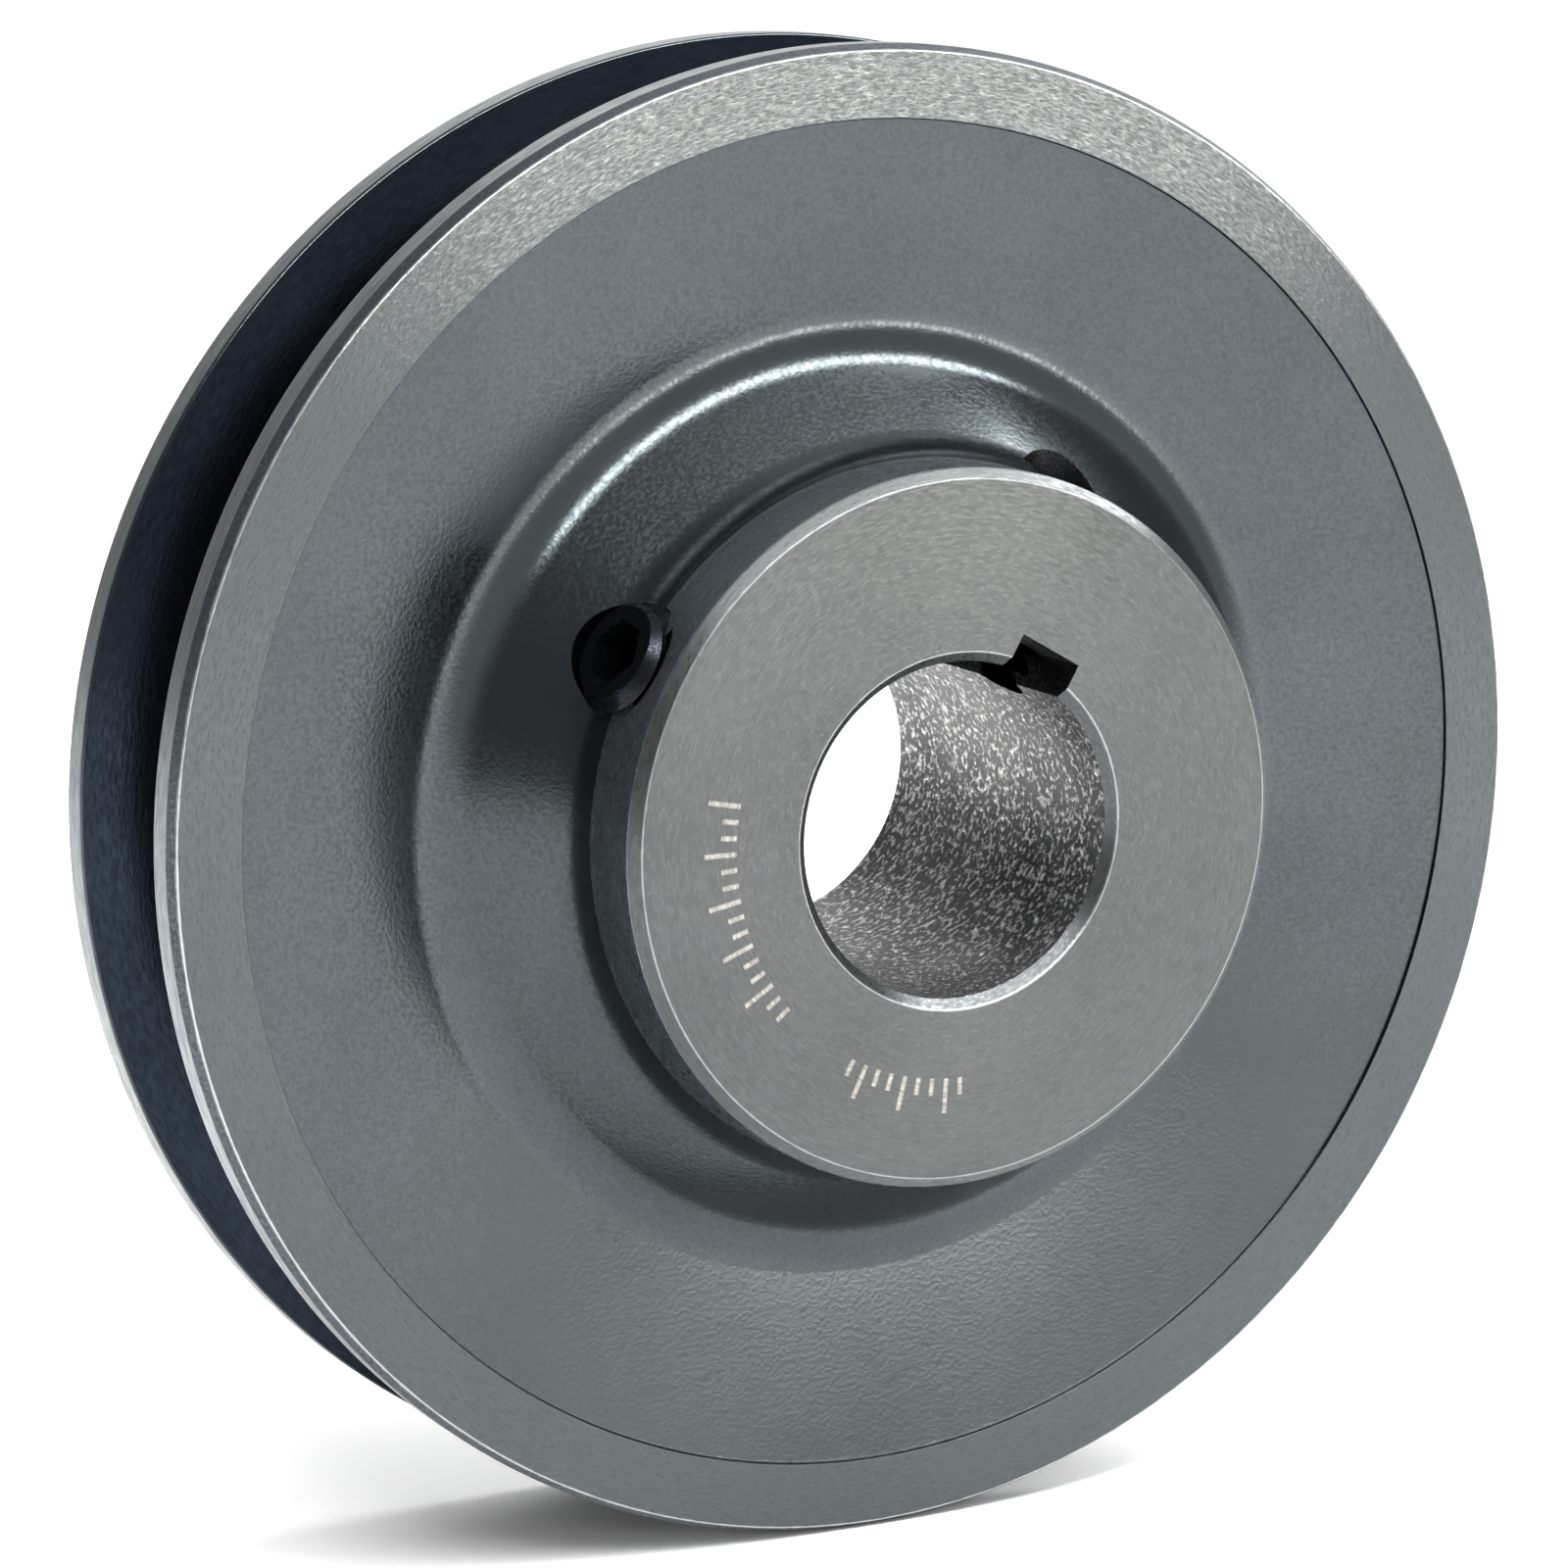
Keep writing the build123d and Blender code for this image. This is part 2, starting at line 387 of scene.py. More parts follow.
@dataclass(frozen=True)
class IronFinish:
    """One finish of the grey iron casting: its colour, gloss, tool marks and grain.

    Colours are sRGB hex; sizes are in metres. The grain is stretched round the bore by `grain_stretch`.
    """

    name: str
    dark: str
    light: str
    metallic: float = 0.9
    roughness: float = 0.4
    grain: float = 0.3 * MM
    grain_stretch: float = 1.0
    grain_girth: float = 40 * MM
    grain_low: float = 0.35
    grain_high: float = 0.65
    grain_colour: float = 0.5
    grain_rough: float = 0.1
    grain_bump: float = 0.01 * MM
    ring: float = 0.15 * MM
    ring_colour: float = 0.0
    ring_bump: float = 0.0
    mottle: float = 12 * MM
    mottle_colour: float = 0.3
    anisotropy: float = 0.0
    edges: tuple[EdgeWearAndHighlight, ...] = ()
    ticks: tuple[TickRow, ...] = ()
    tick_colour: str = "b4aea6"

    def build(self) -> bpy.types.Material:
        """Make the material."""
        material = bpy.data.materials.new(self.name)
        material.use_nodes = True
        tree = material.node_tree
        tree.nodes.clear()
        place = turned_place(tree, add_node(tree, "ShaderNodeTexCoord").outputs["Object"])
        grain = self.grain_field(tree, place)
        rings = self.ring_field(tree, place)
        mottle = add_node(
            tree,
            "ShaderNodeTexNoise",
            {"Vector": place.place, "Scale": 1 / self.mottle, "Detail": 3.0, "Roughness": 0.55},
        )
        tone = add_node(
            tree, "ShaderNodeMapRange", {"Value": mottle.outputs[0], "From Min": 0.3, "From Max": 0.7}
        )
        share = add_node(tree, MATH, {0: tone, 1: self.mottle_colour}, operation="MULTIPLY")
        share = add_node(tree, MATH, {0: grain, 1: self.grain_colour, 2: share}, operation="MULTIPLY_ADD")
        share = add_node(tree, MATH, {0: rings, 1: self.ring_colour, 2: share}, operation="MULTIPLY_ADD")
        colour = add_node(tree, "ShaderNodeMix", {"Factor": share}, data_type="RGBA", clamp_factor=True)
        colour.inputs[6].default_value = linear(self.dark)
        colour.inputs[7].default_value = linear(self.light)
        paint = colour.outputs[2]
        # bright edge lines: wear plus a painted highlight on each edge
        for edge in self.edges:
            paint = self.worn_edge_and_highlight(tree, place, edge, paint)
        for row in self.ticks:
            paint = self.tick_row(tree, place, row, grain, paint)
        rough = add_node(
            tree,
            "ShaderNodeMapRange",
            {
                "Value": grain,
                "To Min": self.roughness + self.grain_rough,
                "To Max": self.roughness - self.grain_rough,
            },
        )
        height = add_node(tree, MATH, {0: grain, 1: self.grain_bump}, operation="MULTIPLY")
        height = add_node(tree, MATH, {0: rings, 1: self.ring_bump, 2: height}, operation="MULTIPLY_ADD")
        bump = add_node(tree, "ShaderNodeBump", {"Strength": 1.0, "Distance": 1.0, "Height": height})
        shader = add_node(
            tree,
            "ShaderNodeBsdfPrincipled",
            {
                "Base Color": paint,
                "Metallic": self.metallic,
                "Roughness": rough,
                "Normal": bump,
                "Anisotropic": self.anisotropy,
            },
        )
        if self.anisotropy:
            tangent = add_node(tree, "ShaderNodeTangent", direction_type="RADIAL", axis="Y")
            tree.links.new(tangent.outputs[0], shader.inputs["Tangent"])
            shader.inputs["Anisotropic Rotation"].default_value = 0.25
        add_node(tree, "ShaderNodeOutputMaterial", {0: shader})
        return material

    def grain_field(self, tree: bpy.types.NodeTree, place: Turned) -> bpy.types.NodeSocket:
        """Noise grain, drawn out round the bore.

        Args:
            tree: Shader tree.
            place: Place on the turned part.

        Returns:
            Grain from 0 to 1.
        """
        if self.grain_stretch == 1.0:
            field_ = add_node(
                tree,
                "ShaderNodeTexNoise",
                {"Vector": place.place, "Scale": 1 / self.grain, "Detail": 2.0, "Roughness": 0.6},
            )
        else:
            girth = self.grain_girth / self.grain_stretch
            across = add_node(tree, MATH, {0: place.across, 1: girth}, operation="MULTIPLY")
            up = add_node(tree, MATH, {0: place.up, 1: girth}, operation="MULTIPLY")
            vector = add_node(tree, "ShaderNodeCombineXYZ", {0: place.radius, 1: across, 2: up})
            field_ = add_node(
                tree,
                "ShaderNodeTexNoise",
                {"Vector": vector, "W": place.along, "Scale": 1 / self.grain, "Detail": 2.0, "Roughness": 0.6},
                noise_dimensions="4D",
            )
        spread = add_node(
            tree,
            "ShaderNodeMapRange",
            {"Value": field_.outputs[0], "From Min": self.grain_low, "From Max": self.grain_high},
        )
        return spread.outputs[0]

    def ring_field(self, tree: bpy.types.NodeTree, place: Turned) -> bpy.types.NodeSocket:
        """Turning marks: fine rings that follow the tool round the bore.

        Args:
            tree: Shader tree.
            place: Place on the turned part.

        Returns:
            Ring height from 0 to 1.
        """
        track = add_node(tree, MATH, {0: place.along, 1: 0.73, 2: place.radius}, operation="MULTIPLY_ADD")
        ring = add_node(
            tree,
            "ShaderNodeTexNoise",
            {"W": track, "Scale": 1 / self.ring, "Detail": 1.0, "Roughness": 0.5},
            noise_dimensions="1D",
        )
        return ring.outputs[0]

    def worn_edge_and_highlight(
        self, tree: bpy.types.NodeTree, place: Turned, edge: EdgeWearAndHighlight, under: bpy.types.NodeSocket
    ) -> bpy.types.NodeSocket:
        """Lay a bright line over the colour: rubbed metal and a painted highlight along the edge.

        Args:
            tree: Shader tree.
            place: Place on the turned part.
            edge: The line.
            under: Colour below it.

        Returns:
            The colour with the line.
        """
        away = add_node(tree, MATH, {0: place.radius, 1: edge.radius}, operation="SUBTRACT")
        away = add_node(tree, MATH, {0: away}, operation="ABSOLUTE")
        breaks = add_node(
            tree, "ShaderNodeTexNoise", {"Vector": place.place, "Scale": 1 / edge.break_size, "Detail": 2.0}
        )
        reach = add_node(
            tree,
            "ShaderNodeMapRange",
            {
                "Value": breaks.outputs[0],
                "From Min": 0.3,
                "From Max": 0.65,
                "To Min": 0.6 * edge.width,
                "To Max": edge.width,
            },
        )
        mask = add_node(
            tree,
            "ShaderNodeMapRange",
            {"Value": away, "From Min": 0.0, "From Max": reach, "To Min": edge.strength, "To Max": 0.0},
        )
        mix = add_node(tree, "ShaderNodeMix", {"Factor": mask}, data_type="RGBA")
        tree.links.new(under, mix.inputs[6])
        mix.inputs[7].default_value = linear(edge.colour)
        return mix.outputs[2]

    def tick_row(
        self,
        tree: bpy.types.NodeTree,
        place: Turned,
        row: TickRow,
        grain: bpy.types.NodeSocket,
        under: bpy.types.NodeSocket,
    ) -> bpy.types.NodeSocket:
        """Lay a row of etched ticks over the colour; every third one is full length.

        Args:
            tree: Shader tree.
            place: Place on the turned part.
            row: The row's sizes.
            grain: Grain that breaks the etched strokes up.
            under: Colour below it.

        Returns:
            The colour with the ticks.
        """
        left = add_node(tree, MATH, {0: place.across, 1: -1.0}, operation="MULTIPLY")
        down = add_node(tree, MATH, {0: place.up, 1: -1.0}, operation="MULTIPLY")
        angle = add_node(tree, MATH, {0: down, 1: left}, operation="ARCTAN2")
        steps = add_node(tree, MATH, {0: angle, 1: radians(row.step)}, operation="DIVIDE")
        whole = add_node(tree, MATH, {0: steps}, operation="ROUND")
        off = add_node(tree, MATH, {0: steps, 1: whole}, operation="SUBTRACT")
        off = add_node(tree, MATH, {0: off}, operation="ABSOLUTE")
        arc = add_node(tree, MATH, {0: off, 1: radians(row.step)}, operation="MULTIPLY")
        arc = add_node(tree, MATH, {0: arc, 1: place.radius}, operation="MULTIPLY")
        stroke = add_node(
            tree,
            "ShaderNodeMapRange",
            {
                "Value": arc,
                "From Min": 0.3 * row.width,
                "From Max": 0.6 * row.width,
                "To Min": 1.0,
                "To Max": 0.0,
            },
        )
        third = add_node(tree, MATH, {0: whole, 1: 3.0}, operation="FLOORED_MODULO")
        short = add_node(tree, MATH, {0: third, 1: 0.5}, operation="GREATER_THAN")
        middle = (row.inner + row.outer) / 2
        end = add_node(tree, "ShaderNodeMapRange", {"Value": short, "To Min": row.outer, "To Max": middle})
        inside = add_node(tree, MATH, {0: place.radius, 1: end}, operation="LESS_THAN")
        beyond = add_node(tree, MATH, {0: place.radius, 1: row.inner}, operation="GREATER_THAN")
        after = add_node(tree, MATH, {0: whole, 1: row.start / row.step - 0.5}, operation="GREATER_THAN")
        before = add_node(tree, MATH, {0: whole, 1: row.end / row.step + 0.5}, operation="LESS_THAN")
        mask = stroke
        for gate in (inside, beyond, after, before):
            mask = add_node(tree, MATH, {0: mask, 1: gate}, operation="MULTIPLY")
        worn = add_node(tree, "ShaderNodeMapRange", {"Value": grain, "To Min": 0.25, "To Max": 0.6})
        mask = add_node(tree, MATH, {0: mask, 1: worn}, operation="MULTIPLY")
        mix = add_node(tree, "ShaderNodeMix", {"Factor": mask}, data_type="RGBA")
        tree.links.new(under, mix.inputs[6])
        mix.inputs[7].default_value = linear(self.tick_colour)
        return mix.outputs[2]


# --- sizes from the frame ----------------------------------------------------------------------
@dataclass(frozen=True)
class ScrewPlace:
    """Where a set screw lies: its radius's direction, its lean, and where its axis meets the bore's axis."""

    angle: float
    tilt: float
    crossing: float
    middle: float

    @classmethod
    def of(cls, node: str, joint: str) -> "ScrewPlace":
        """Read a screw's place from its CAD box and from its joint's axis, which points inwards."""
        low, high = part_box(node)
        centre = (low + high) / 2
        inward = next(Vector(j["axis"]) for j in frame["record"]["behaviour"]["joints"] if j["name"] == joint)
        tilt = asin(inward.y)
        middle = hypot(centre.x, centre.z) / cos(tilt)
        return cls(atan2(-inward.z, -inward.x), tilt, centre.y + middle * sin(tilt), middle)

    def at(self, distance: float) -> Vector:
        """Point on the screw's axis, at a distance along it from the bore's axis."""
        outward = Vector((cos(self.angle) * cos(self.tilt), -sin(self.tilt), sin(self.angle) * cos(self.tilt)))
        return Vector((0, self.crossing, 0)) + outward * distance


@dataclass(frozen=True)
class SheaveSizes:
    """Sizes that the casting, its cuts and its finishes share, in metres."""

    rim_radius: float
    rim_half: float
    hub_face: float
    back_face: float
    bore_radius: float
    key_angle: float
    side_land: float = 4.85 * MM
    dish_step: float = 0.35 * MM
    front_dish: float = 3.0 * MM
    back_dish: float = 4.6 * MM
    turned_depth: float = 8.425 * MM
    hub_radius: float = 1.867 * INCH / 2
    hub_chamfer: float = 0.75 * MM
    foot_run: float = 6.789 * MM
    foot_slope: float = radians(46)
    boss_radius: float = 23 * MM
    bore_chamfer: float = 0.68 * MM
    groove_half_top: float = 6.5 * MM
    groove_half_angle: float = radians(17)
    groove_depth: float = 12.4 * MM
    key_width: float = INCH * 3 / 16
    key_depth: float = INCH * 3 / 32
    rim_chamfer_axial: float = 0.8 * MM
    rim_chamfer_radial: float = 0.45 * MM

    @classmethod
    def of(cls, record: dict[str, Any]) -> "SheaveSizes":
        """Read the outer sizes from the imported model."""
        low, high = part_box("sheave")
        mounts = {mount["name"]: mount for mount in record["mounts"]}
        seat = mounts["key_seat"]["pos_m"]
        bore = mounts["bore"]["dims"]["r_mm"] * MM
        return cls(high.x, high.y, -low.y, bore_radius=bore, back_face=mounts["back_hub_face"]["pos_m"][1],
                   key_angle=atan2(seat[2], seat[0]))

    @property
    def land_radius(self) -> float:
        """Inside of the flat ring along the rim."""
        return self.rim_radius - self.side_land

    @property
    def root_radius(self) -> float:
        """Bottom of the belt groove."""
        return self.rim_radius - self.groove_depth

    @property
    def root_half(self) -> float:
        """Half the groove's width at its bottom."""
        return self.groove_half_top - self.groove_depth * tan(self.groove_half_angle)

    @property
    def key_floor(self) -> float:
        """Distance from the bore's axis to the floor of the key seat."""
        return sqrt(self.bore_radius**2 - (self.key_width / 2) ** 2) + self.key_depth


# --- casting -----------------------------------------------------------------------------------
@dataclass(frozen=True)
class Zone:
    """Part of the casting's surface that one finish covers: ranges of radius and of place along the bore.

    With `flank` set, the place is measured outwards from the groove's flanks, on either side.
    """

    finish: str
    radius: tuple[float, float]
    along: tuple[float, float]
    flank: bool = False


@dataclass
class SheaveCasting:
    """The iron sheave: rim, web and hub in one piece, with its key seat and its two tapped holes."""

    size: SheaveSizes
    screws: list[ScrewPlace]
    thread: bpy.types.NodeTree
    segments: int = 320
    flank_margin: float = 0.1 * MM
    cast_wave: float = 9 * MM
    cast_depth: float = 0.02 * MM
    wave_fade: float = 3 * MM
    start_turns: int = 4
    hole_crest: float = 4.02 * MM
    hole_root: float = 3.3 * MM
    mouth_radius: float = 4.0 * MM
    mouth_start: float = 24.4 * MM
    mouth_end: float = 36 * MM
    pitch: float = INCH / 18

    def outline(self) -> TurnedOutline:
        """Outline of the turned body, from the hub face round to the bore."""
        s = self.size
        back_web = s.rim_half - s.back_dish
        front_web = s.rim_half - s.front_dish
        foot_top = front_web + s.foot_run * tan(s.foot_slope)
        wall_run = s.back_dish - s.dish_step
        return TurnedOutline(
            (
                Corner(s.bore_radius + s.bore_chamfer, -s.hub_face, 0.06 * MM),
                Corner(s.hub_radius - s.hub_chamfer, -s.hub_face, 0.3 * MM),
                Corner(s.hub_radius, -s.hub_face + s.hub_chamfer, 0.3 * MM),
                Corner(s.hub_radius, -foot_top, 5.0 * MM),
                Corner(s.hub_radius + s.foot_run, -front_web, 4.0 * MM),
                Corner(s.land_radius, -s.rim_half + s.dish_step, 0.12 * MM),
                Corner(s.land_radius, -s.rim_half, 0.06 * MM),
                Corner(s.rim_radius - s.rim_chamfer_radial, -s.rim_half, 0.07 * MM),
                Corner(s.rim_radius, -s.rim_half + s.rim_chamfer_axial, 0.12 * MM),
                Corner(s.rim_radius, -s.groove_half_top, 0.3 * MM),
                Corner(s.root_radius, -s.root_half, 0.8 * MM),
                Corner(s.root_radius, s.root_half, 0.8 * MM),
                Corner(s.rim_radius, s.groove_half_top, 0.3 * MM),
                Corner(s.rim_radius, s.rim_half - s.rim_chamfer_axial, 0.12 * MM),
                Corner(s.rim_radius - s.rim_chamfer_radial, s.rim_half, 0.07 * MM),
                Corner(s.land_radius, s.rim_half, 0.06 * MM),
                Corner(s.land_radius, s.rim_half - s.dish_step, 0.12 * MM),
                Corner(s.land_radius - wall_run, back_web, 4.0 * MM),
                Corner(s.boss_radius + s.back_face - back_web, back_web, 4.0 * MM),
                Corner(s.boss_radius, s.back_face, 0.12 * MM),
                Corner(s.bore_radius + s.bore_chamfer, s.back_face, 0.06 * MM),
                Corner(s.bore_radius, s.back_face - s.bore_chamfer, 0.06 * MM),
                Corner(s.bore_radius, -s.hub_face + s.bore_chamfer, 0.06 * MM),
            )
        )

    def zones(self) -> list[Zone]:
        """The finished zones; the rest stays as cast."""
        s = self.size
        far = 1.0
        edge = 0.04 * MM
        faces = (-far, -s.hub_face + s.hub_chamfer + edge)
        side = (-s.hub_face + s.hub_chamfer - edge, -s.hub_face + s.turned_depth)
        corner = s.rim_radius - s.rim_chamfer_radial
        outside = s.rim_half - s.rim_chamfer_axial
        return [
            Zone("hub_side", (s.bore_radius, s.hub_radius + edge), side),
            Zone("hub_face", (s.bore_radius + edge, s.hub_radius + edge), faces),
            Zone("hub_face", (s.bore_radius + edge, s.boss_radius + edge), (s.back_face - s.bore_chamfer, far)),
            Zone("rim_side", (s.land_radius - edge, far), (-far, -s.rim_half + edge)),
            Zone("rim_side", (s.land_radius - edge, far), (s.rim_half - edge, far)),
            Zone("rim_edge", (corner, far), (-far, -outside)),
            Zone("rim_edge", (corner, far), (outside, far)),
            Zone("rim_outside", (s.rim_radius - edge, far), (-outside, outside)),
            # groove flanks: their near-black finish is painted shade of the deep groove
            Zone("groove", (s.root_radius - edge, s.rim_radius - 0.15 * MM), (-far, edge), flank=True),
            Zone("bore", (0.0, s.bore_radius + edge), (-far, far)),
        ]

    def tree(self, finishes: dict[str, bpy.types.Material]) -> bpy.types.NodeTree:
        """Build the tree: sweep the outline, lay the cast surface's slight waves, cut, shade and dress.

        Args:
            finishes: Materials by finish name.

        Returns:
            The tree.
        """
        s = self.size
        tree, given = new_tree(
            "sheave_casting",
            [
                ("Outline", "NodeSocketGeometry", None),
                ("Segments", "NodeSocketInt", self.segments),
                ("Wave Length", "NodeSocketFloat", self.cast_wave),
                ("Wave Depth", "NodeSocketFloat", self.cast_depth),
                ("Key Width", "NodeSocketFloat", s.key_width),
                ("Key Floor", "NodeSocketFloat", s.key_floor),
                ("Bore Length", "NodeSocketFloat", s.hub_face + s.back_face),
            ],
        )
        sockets = {socket.name: socket for socket in given.outputs}
        body = self.swept_body(tree, sockets, finishes["as_cast"])
        cutters = [self.key_cutter(tree, sockets)]
        for screw in self.screws:
            cutters += [self.thread_cutter(tree, screw), self.mouth_cutter(tree, screw)]
        boolean = add_node(tree, "GeometryNodeMeshBoolean", {0: body}, operation="DIFFERENCE", solver="EXACT")
        # cut faces get the near-black cut metal, its darkness partly painted shade of the recesses
        for cutter in cutters:
            dressed = add_node(tree, "GeometryNodeSetMaterial", {0: cutter, "Material": finishes["cut_metal"]})
            tree.links.new(dressed.outputs[0], boolean.inputs[1])
        shaded = shaded_by_angle(tree, boolean.outputs[0], CREASE)
        whole = add_node(tree, "GeometryNodeRealizeInstances", {0: shaded})
        position = add_node(tree, "GeometryNodeInputPosition")
        place = turned_place(tree, position.outputs[0])
        still_cast = add_node(tree, "GeometryNodeMaterialSelection", {0: finishes["as_cast"]})
        for zone in self.zones():
            selection = self.zone_selection(tree, place, zone, still_cast.outputs[0])
            dress = {0: whole, "Selection": selection, "Material": finishes[zone.finish]}
            whole = add_node(tree, "GeometryNodeSetMaterial", dress)
        close_tree(tree, whole)
        return tree

    def swept_body(
        self, tree: bpy.types.NodeTree, sockets: dict[str, bpy.types.NodeSocket], cast: bpy.types.Material
    ) -> bpy.types.Node:
        """Sweep the outline round the bore and lay the cast waves on the web and the hub's foot.

        Args:
            tree: Geometry tree.
            sockets: The tree's named inputs.
            cast: Material of the casting.

        Returns:
            The last node.
        """
        s = self.size
        circle = add_node(
            tree, "GeometryNodeCurvePrimitiveCircle", {"Resolution": sockets["Segments"], "Radius": 1.0}
        )
        outline = add_node(tree, "GeometryNodeMeshToCurve", {0: sockets["Outline"]})
        swept = add_node(tree, "GeometryNodeCurveToMesh", {"Curve": circle, "Profile Curve": outline})
        turned = add_node(tree, "GeometryNodeTransform", {"Geometry": swept, "Rotation": (pi / 2, 0, 0)})
        closed = add_node(tree, "GeometryNodeMergeByDistance", {"Geometry": turned, "Distance": MERGE})
        position = add_node(tree, "GeometryNodeInputPosition")
        place = turned_place(tree, position.outputs[0])
        front = add_node(tree, MATH, {0: place.along, 1: -s.front_dish}, operation="LESS_THAN")
        inner_still, outer_still = s.hub_radius + 0.2 * MM, s.land_radius - 0.4 * MM
        inner_full, outer_full = s.hub_radius + self.wave_fade, s.land_radius - self.wave_fade
        inner = add_node(
            tree,
            "ShaderNodeMapRange",
            {"Value": place.radius, "From Min": inner_still, "From Max": inner_full},
        )
        outer = add_node(
            tree,
            "ShaderNodeMapRange",
            {"Value": place.radius, "From Min": outer_still, "From Max": outer_full},
        )
        scale = add_node(tree, MATH, {0: 1.0, 1: sockets["Wave Length"]}, operation="DIVIDE")
        wave = add_node(tree, "ShaderNodeTexNoise", {"Vector": position, "Scale": scale, "Detail": 2.0})
        amount = add_node(tree, MATH, {0: wave.outputs[0], 1: 0.5}, operation="SUBTRACT")
        for share in (sockets["Wave Depth"], front, inner, outer):
            amount = add_node(tree, MATH, {0: amount, 1: share}, operation="MULTIPLY")
        offset = add_node(tree, "ShaderNodeCombineXYZ", {1: amount})
        waved = add_node(tree, "GeometryNodeSetPosition", {"Geometry": closed, "Offset": offset})
        return add_node(tree, "GeometryNodeSetMaterial", {0: waved, "Material": cast})

    def key_cutter(self, tree: bpy.types.NodeTree, sockets: dict[str, bpy.types.NodeSocket]) -> bpy.types.Node:
        """Block that cuts the key seat, from the bore's axis out to the seat's floor.

        Args:
            tree: Geometry tree.
            sockets: The tree's named inputs.

        Returns:
            The last node.
        """
        s = self.size
        length = add_node(tree, MATH, {0: sockets["Bore Length"], 1: 2.0}, operation="MULTIPLY")
        block_size = add_node(
            tree, "ShaderNodeCombineXYZ", {0: sockets["Key Floor"], 1: length, 2: sockets["Key Width"]}
        )
        block = add_node(tree, "GeometryNodeMeshCube", {"Size": block_size})
        half = add_node(tree, MATH, {0: sockets["Key Floor"], 1: 0.5}, operation="MULTIPLY")
        outwards = add_node(tree, "ShaderNodeCombineXYZ", {0: half})
        moved = add_node(
            tree, "GeometryNodeTransform", {"Geometry": block.outputs["Mesh"], "Translation": outwards}
        )
        return add_node(tree, "GeometryNodeTransform", {"Geometry": moved, "Rotation": (0, -s.key_angle, 0)})

    def thread_cutter(self, tree: bpy.types.NodeTree, screw: ScrewPlace) -> bpy.types.Node:
        """Threaded rod that cuts a tapped hole, from inside the bore out to the plain mouth.

        Args:
            tree: Geometry tree.
            screw: Place of the hole's screw.

        Returns:
            The last node.
        """
        start = self.pitch * self.start_turns
        rod = add_node(tree, "GeometryNodeGroup", node_tree=self.thread)
        values = {
            "Crest Radius": self.hole_crest,
            "Root Radius": self.hole_root,
            "Pitch": self.pitch,
            "Length": self.mouth_start + self.pitch / 2 - start,
            "End Radius": 1.0,
            "Segments": 72,
        }
        for label, value in values.items():
            rod.inputs[label].default_value = value
        return placed_on_screw_axis(tree, rod.outputs[0], screw, start)

    def mouth_cutter(self, tree: bpy.types.NodeTree, screw: ScrewPlace) -> bpy.types.Node:
        """Plain cylinder that clears a tapped hole's mouth, where the thread would break out of the foot.

        Args:
            tree: Geometry tree.
            screw: Place of the hole's screw.

        Returns:
            The last node.
        """
        depth = self.mouth_end - self.mouth_start
        mouth = add_node(
            tree,
            "GeometryNodeMeshCylinder",
            {"Vertices": 96, "Radius": self.mouth_radius, "Depth": depth},
            fill_type="NGON",
        )
        return placed_on_screw_axis(tree, mouth.outputs["Mesh"], screw, self.mouth_start + depth / 2)

    def zone_selection(
        self, tree: bpy.types.NodeTree, place: Turned, zone: Zone, still_cast: bpy.types.NodeSocket
    ) -> bpy.types.NodeSocket:
        """Select the faces of a zone that no cut has made.

        Args:
            tree: Geometry tree.
            place: Place on the turned part.
            zone: The zone.
            still_cast: Whether a face still has the casting's material.

        Returns:
            The selection.
        """
        along = place.along
        if zone.flank:
            s = self.size
            half = add_node(tree, MATH, {0: along}, operation="ABSOLUTE")
            rise = add_node(tree, MATH, {0: place.radius, 1: s.root_radius}, operation="SUBTRACT")
            slope, root = tan(s.groove_half_angle), s.root_half + self.flank_margin
            wall = add_node(tree, MATH, {0: rise, 1: slope, 2: root}, operation="MULTIPLY_ADD")
            along = add_node(tree, MATH, {0: half, 1: wall}, operation="SUBTRACT").outputs[0]
        selection = still_cast
        for value, (low, high) in ((place.radius, zone.radius), (along, zone.along)):
            above = add_node(tree, MATH, {0: value, 1: low}, operation="GREATER_THAN")
            below = add_node(tree, MATH, {0: value, 1: high}, operation="LESS_THAN")
            for gate in (above, below):
                both = add_node(tree, "FunctionNodeBooleanMath", {0: selection, 1: gate}, operation="AND")
                selection = both.outputs[0]
        return selection

    def build(self, finishes: dict[str, bpy.types.Material]) -> bpy.types.Object:
        """Make the casting, dressed, on the sheave's body."""
        points = [(radius - 1.0, along) for radius, along in self.outline().points()]
        source = outline_object("sheave_outline", points)
        casting = evaluated(source, self.tree(finishes), {}, "sheave_casting")
        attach(casting, "sheave")
        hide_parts("sheave")
        return casting


def shaded_by_angle(
    tree: bpy.types.NodeTree, geometry: bpy.types.NodeSocket, limit: float
) -> bpy.types.Node:
    """Shade smooth, with edges sharper than a limit kept crisp.

    Args:
        tree: Geometry tree.
        geometry: Mesh.
        limit: Angle between faces past which an edge is sharp.

    Returns:
        The last node.
    """
    angle = add_node(tree, "GeometryNodeInputMeshEdgeAngle")
    sharp = add_node(tree, MATH, {0: angle.outputs[0], 1: limit}, operation="GREATER_THAN")
    smooth = add_node(tree, "GeometryNodeSetShadeSmooth", {0: geometry, "Shade Smooth": True}, domain="FACE")
    crisp = {0: smooth, "Selection": sharp, "Shade Smooth": False}
    return add_node(tree, "GeometryNodeSetShadeSmooth", crisp, domain="EDGE")


def placed_on_screw_axis(
    tree: bpy.types.NodeTree, geometry: bpy.types.NodeSocket, place: ScrewPlace, distance: float
) -> bpy.types.Node:
    """Turn a piece made along +Z to a screw's axis and set its start at a distance from the bore's axis.

    Args:
        tree: Geometry tree.
        geometry: The piece.
        place: The screw's place.
        distance: Where the piece starts, along the screw's axis.

    Returns:
        The last node.
    """
    rotation = (place.tilt, pi / 2 - place.angle, 0)
    return add_node(
        tree,
        "GeometryNodeTransform",
        {"Geometry": geometry, "Rotation": rotation, "Translation": place.at(distance)},
    )


